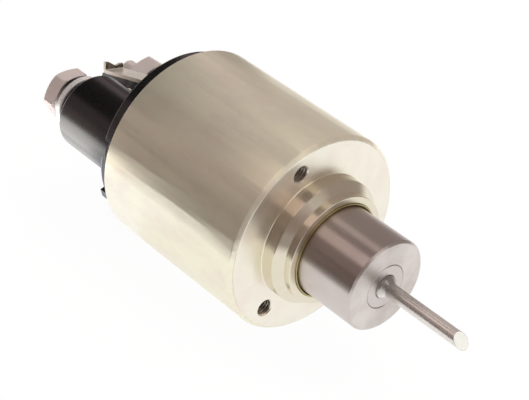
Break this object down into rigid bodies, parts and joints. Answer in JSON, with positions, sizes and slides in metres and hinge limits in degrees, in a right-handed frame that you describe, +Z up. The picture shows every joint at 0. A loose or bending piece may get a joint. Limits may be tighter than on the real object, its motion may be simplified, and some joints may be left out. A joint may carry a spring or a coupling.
{
  "type": "starter solenoid",
  "caption": "Cylindrical starter solenoid with a plated steel case, a sprung plunger with a pull rod in front, and a black terminal cap with threaded studs behind.",
  "frame": {"origin": "centre of the flat mounting face, on the plunger's axis", "axes": "+X along the plunger's axis towards the pull rod, +Z up when it lies as pictured, with the blade terminal above the two studs"},
  "size_m": [0.1477, 0.055, 0.055],
  "materials": {
    "case_plating": "zinc plated with a faint yellow passivation, satin",
    "tube_brass": "drawn, bright",
    "bobbin_plastic": "moulded",
    "winding_copper": "enamelled copper wire, varnished",
    "core_iron": "turned soft iron",
    "seal_rubber": "cork and rubber gasket",
    "cap_plastic": "moulded black phenolic",
    "terminal_steel": "zinc plated",
    "blade_tin": "tin plated brass",
    "spring_steel": "drawn spring wire",
    "plunger_steel": "ground, lightly oiled",
    "bush_steel": "pressed in and faced",
    "rod_steel": "drawn bar",
    "contact_copper": "stamped copper",
    "insulator": "laminated insulator"
  },
  "bodies": {
    "housing": {"case": "case_plating", "guide_tube": "tube_brass", "bobbin": "bobbin_plastic", "pull_in_winding": "winding_copper", "hold_in_winding": "winding_copper", "switch_lead": "winding_copper", "motor_lead": "winding_copper", "fixed_core": "core_iron", "core_plate": "core_iron", "cap_seal": "seal_rubber", "cap": "cap_plastic", "motor_stud": "terminal_steel", "battery_stud": "terminal_steel", "motor_washer": "terminal_steel", "battery_washer": "terminal_steel", "motor_spring_washer": "terminal_steel", "battery_spring_washer": "terminal_steel", "motor_nut": "terminal_steel", "battery_nut": "terminal_steel", "blade_terminal": "blade_tin", "blade_rivet": "terminal_steel", "return_spring": "spring_steel", "contact_return_spring": "spring_steel"},
    "plunger": {"plunger": "plunger_steel", "plunger_bush": "bush_steel", "mesh_spring": "spring_steel"},
    "pull_rod": {"pull_rod": "rod_steel", "rod_head": "rod_steel"},
    "contact_shaft": {"push_rod": "rod_steel", "shaft_clip": "spring_steel", "contact_spring": "spring_steel"},
    "contact_bridge": {"contact_bridge": "contact_copper", "bridge_bush": "insulator", "bridge_washer": "insulator"}
  },
  "joints": [
    {"name": "plunger_slide", "type": "slide", "parent": "housing", "child": "plunger", "axis": [-1, 0, 0], "range_m": [0, 0.01], "stiffness_N_per_m": 1500, "springref_m": -0.006, "deforming": ["return_spring"]},
    {"name": "pull_rod_slide", "type": "slide", "parent": "plunger", "child": "pull_rod", "axis": [1, 0, 0], "range_m": [0, 0.007], "stiffness_N_per_m": 3000, "springref_m": -0.004, "deforming": ["mesh_spring"]},
    {"name": "contact_shaft_slide", "type": "slide", "parent": "housing", "child": "contact_shaft", "axis": [-1, 0, 0], "range_m": [0, 0.004], "deforming": ["contact_spring", "contact_return_spring"]},
    {"name": "contact_bridge_slide", "type": "slide", "parent": "housing", "child": "contact_bridge", "axis": [-1, 0, 0], "range_m": [0, 0.003]}
  ],
  "couplings": [
    {"joint": "contact_shaft_slide", "follows": "plunger_slide", "ratio": 0.4},
    {"joint": "contact_bridge_slide", "follows": "plunger_slide", "ratio": 0.3}
  ]
}
